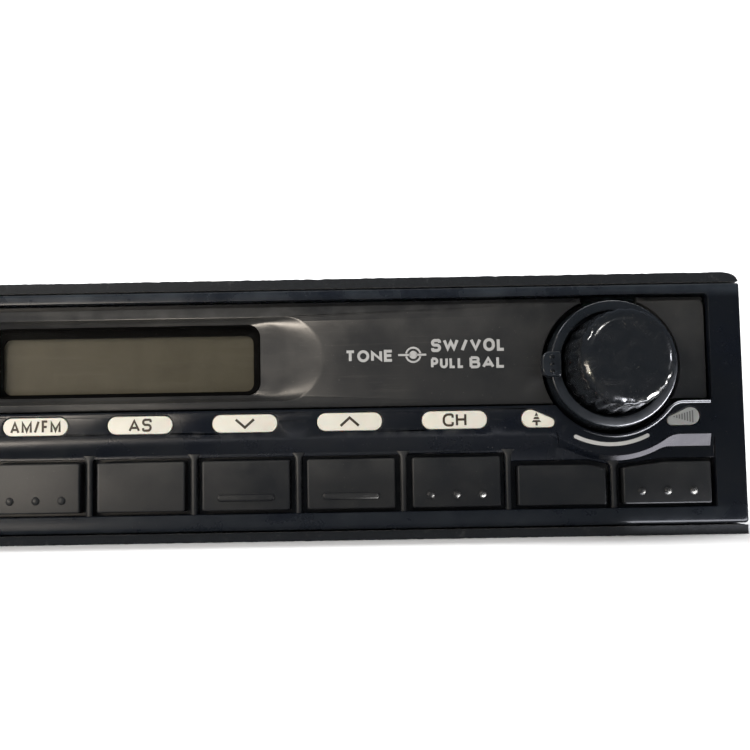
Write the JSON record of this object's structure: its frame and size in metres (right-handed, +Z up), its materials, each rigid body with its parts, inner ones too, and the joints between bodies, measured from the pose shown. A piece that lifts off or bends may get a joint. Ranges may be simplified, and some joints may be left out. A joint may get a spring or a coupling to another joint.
{
  "type": "car radio",
  "caption": "Slot-in car radio with a display window, a row of push keys, lit label windows, and a tone ring round a pull-out volume knob; steel case with rear sockets and heat sink.",
  "frame": {"origin": "centre of the bounding box in plan, at the height the radio stands on", "axes": "+X to the right of someone facing the front, +Y to the rear sockets, +Z up; the front with its keys faces -Y"},
  "size_m": [0.178, 0.1724, 0.052],
  "materials": {
    "abs_black": "satin",
    "panel_black": "satin, fine scuffs",
    "key_black": "satin",
    "knob_gloss": "gloss",
    "felt_black": "rough felt",
    "legend_white": "translucent white",
    "clear_lens": "clear",
    "lcd_olive": "dull",
    "holder_black": "matte",
    "diffuser_white": "matte",
    "zinc_steel": "zinc plated",
    "aluminium": "plain extruded",
    "shaft_steel": "nickel plated",
    "pcb_green": "solder resist",
    "part_black": "matte",
    "connector_ivory": "matte",
    "lamp_glass": "clear",
    "copper": "enamelled wire",
    "cap_sleeve": "printed sleeve"
  },
  "bodies": {
    "radio": {"antenna_jack": "shaft_steel", "backlight_guide": "diffuser_white", "board_connector": "connector_ivory", "bottom_cover": "zinc_steel", "bottom_screw_1": "zinc_steel", "bottom_screw_2": "zinc_steel", "capacitor_1": "cap_sleeve", "capacitor_2": "cap_sleeve", "choke_coil": "copper", "converter_coil": "part_black", "display_lens": "clear_lens", "dual_potentiometer": "zinc_steel", "fascia_panel": "panel_black", "felt_bottom": "felt_black", "felt_top": "felt_black", "front_bezel": "abs_black", "front_board": "pcb_green", "heat_sink": "aluminium", "label_guide_left": "legend_white", "label_guide_right": "legend_white", "lamp_left": "lamp_glass", "lamp_right": "lamp_glass", "lcd_glass": "lcd_olive", "lcd_holder": "holder_black", "main_board": "pcb_green", "pot_nut": "zinc_steel", "power_amp_chip": "part_black", "power_socket": "part_black", "rear_plate": "zinc_steel", "side_plate_left": "zinc_steel", "side_plate_right": "zinc_steel", "sink_screw_1": "zinc_steel", "sink_screw_2": "zinc_steel", "switch_1": "part_black", "switch_2": "part_black", "switch_3": "part_black", "switch_4": "part_black", "switch_5": "part_black", "switch_6": "part_black", "switch_7": "part_black", "switch_8": "part_black", "top_cover": "zinc_steel", "top_screw_1": "zinc_steel", "top_screw_2": "zinc_steel", "top_screw_3": "zinc_steel", "top_screw_4": "zinc_steel", "tuner_can": "zinc_steel"},
    "tone_control": {"tone_ring": "abs_black", "outer_shaft": "shaft_steel"},
    "pull_switch": {"pull_slider": "connector_ivory"},
    "volume_control": {"volume_knob": "knob_gloss", "inner_shaft": "shaft_steel"},
    "key_1": {"key_1": "key_black"},
    "key_2": {"key_2": "key_black"},
    "key_3": {"key_3": "key_black"},
    "key_down": {"key_down": "key_black"},
    "key_up": {"key_up": "key_black"},
    "key_6": {"key_6": "key_black"},
    "key_7": {"key_7": "key_black"},
    "key_8": {"key_8": "key_black"}
  },
  "joints": [
    {"name": "key_1_press", "type": "slide", "parent": "radio", "child": "key_1", "axis": [0, 1, 0], "range_m": [0, 0.001], "stiffness_N_per_m": 700, "springref_m": -0.0004},
    {"name": "key_2_press", "type": "slide", "parent": "radio", "child": "key_2", "axis": [0, 1, 0], "range_m": [0, 0.001], "stiffness_N_per_m": 700, "springref_m": -0.0004},
    {"name": "key_3_press", "type": "slide", "parent": "radio", "child": "key_3", "axis": [0, 1, 0], "range_m": [0, 0.001], "stiffness_N_per_m": 700, "springref_m": -0.0004},
    {"name": "key_down_press", "type": "slide", "parent": "radio", "child": "key_down", "axis": [0, 1, 0], "range_m": [0, 0.001], "stiffness_N_per_m": 700, "springref_m": -0.0004},
    {"name": "key_up_press", "type": "slide", "parent": "radio", "child": "key_up", "axis": [0, 1, 0], "range_m": [0, 0.001], "stiffness_N_per_m": 700, "springref_m": -0.0004},
    {"name": "key_6_press", "type": "slide", "parent": "radio", "child": "key_6", "axis": [0, 1, 0], "range_m": [0, 0.001], "stiffness_N_per_m": 700, "springref_m": -0.0004},
    {"name": "key_7_press", "type": "slide", "parent": "radio", "child": "key_7", "axis": [0, 1, 0], "range_m": [0, 0.001], "stiffness_N_per_m": 700, "springref_m": -0.0004},
    {"name": "key_8_press", "type": "slide", "parent": "radio", "child": "key_8", "axis": [0, 1, 0], "range_m": [0, 0.001], "stiffness_N_per_m": 700, "springref_m": -0.0004},
    {"name": "tone_turn", "type": "hinge", "parent": "radio", "child": "tone_control", "pos_m": [0.0632, -0.06975, 0.03375], "axis": [0, -1, 0], "range_deg": [-135, 135]},
    {"name": "balance_pull", "type": "slide", "parent": "radio", "child": "pull_switch", "axis": [0, -1, 0], "range_m": [0, 0.0035]},
    {"name": "volume_turn", "type": "hinge", "parent": "pull_switch", "child": "volume_control", "pos_m": [0.0632, -0.06975, 0.03375], "axis": [0, -1, 0], "range_deg": [-145, 145]}
  ]
}
